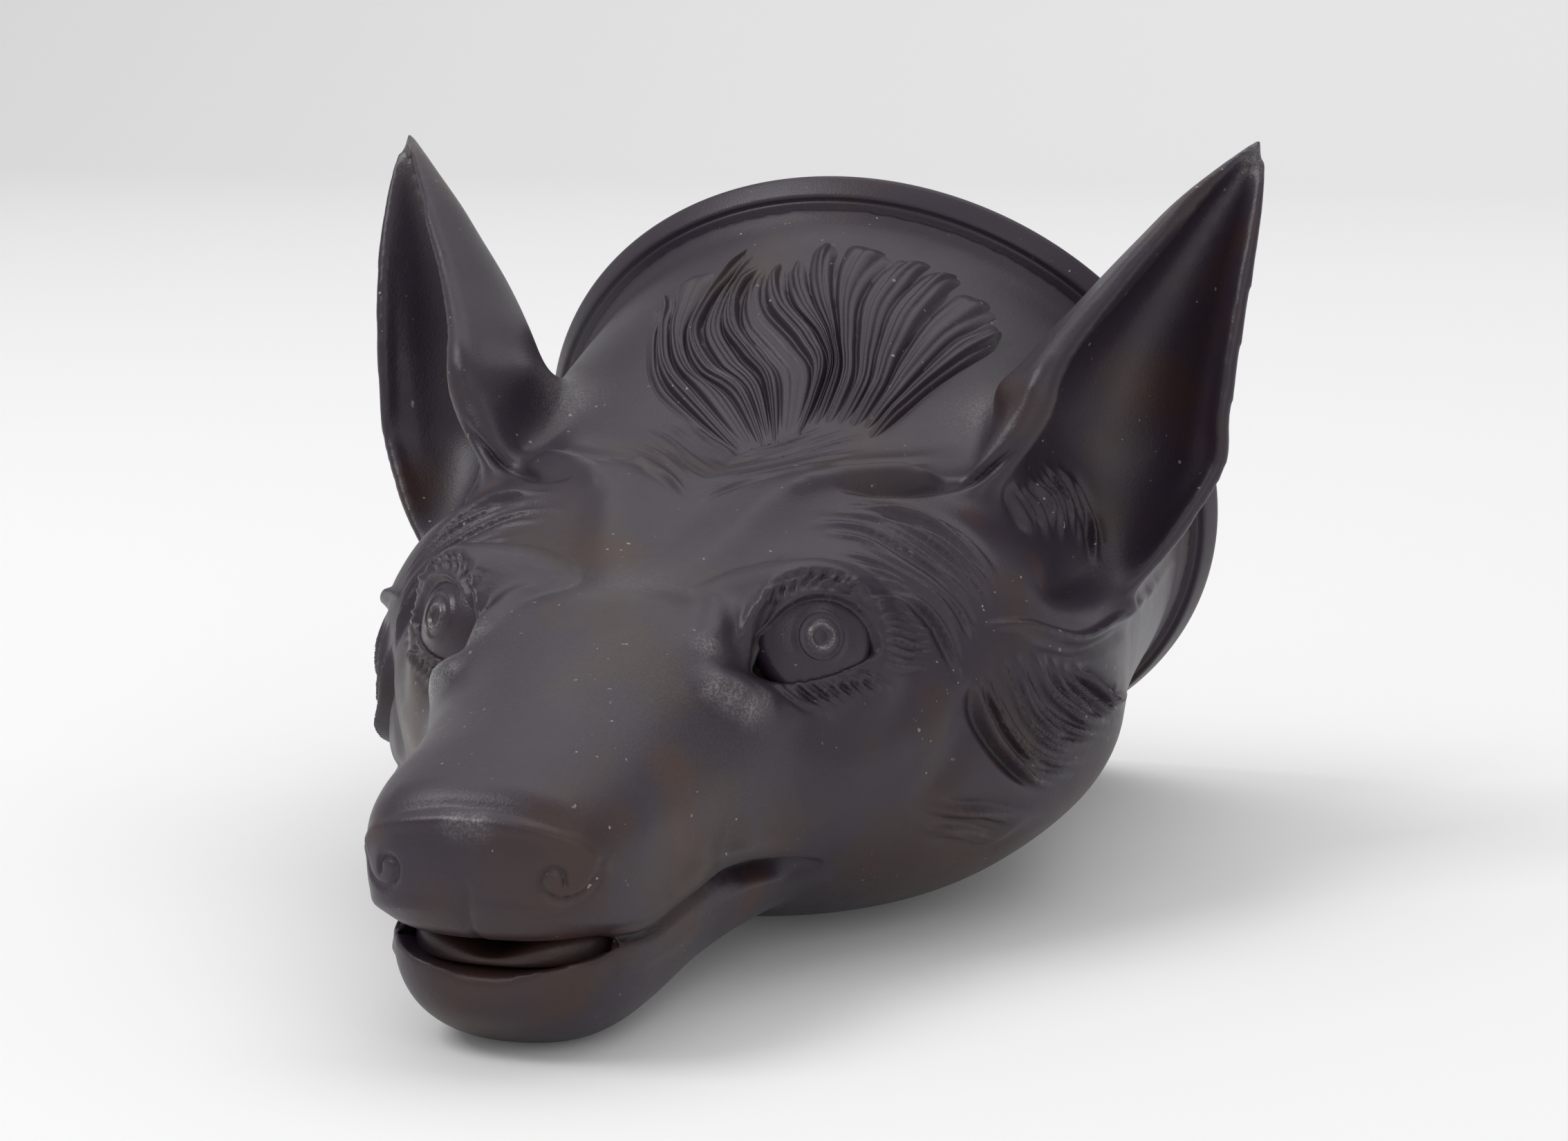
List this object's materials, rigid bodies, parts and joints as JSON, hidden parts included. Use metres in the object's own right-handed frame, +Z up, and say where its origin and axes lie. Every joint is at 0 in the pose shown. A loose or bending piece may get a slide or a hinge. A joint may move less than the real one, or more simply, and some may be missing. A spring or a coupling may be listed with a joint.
{
  "type": "stirrup cup",
  "caption": "Fox-head stirrup cup in unglazed black stoneware, a hollow moulded mask with pricked cupped ears, set eyes, wavy forelock and a turned flared drinking rim.",
  "frame": {"origin": "on the table under the middle of the cup as it lies, at the bottom centre of its box", "axes": "+Z up from the table, +Y from the muzzle towards the mouth of the cup, +X to the fox's left"},
  "size_m": [0.0916, 0.1334, 0.0713],
  "materials": {
    "black_stoneware": "satin, dry unglazed"
  },
  "bodies": {
    "root": {"head_shell": "black_stoneware", "rim_collar": "black_stoneware", "lower_jaw": "black_stoneware", "tongue": "black_stoneware", "left_ear": "black_stoneware", "right_ear": "black_stoneware", "left_eye": "black_stoneware", "right_eye": "black_stoneware", "forelock": "black_stoneware"}
  },
  "joints": []
}
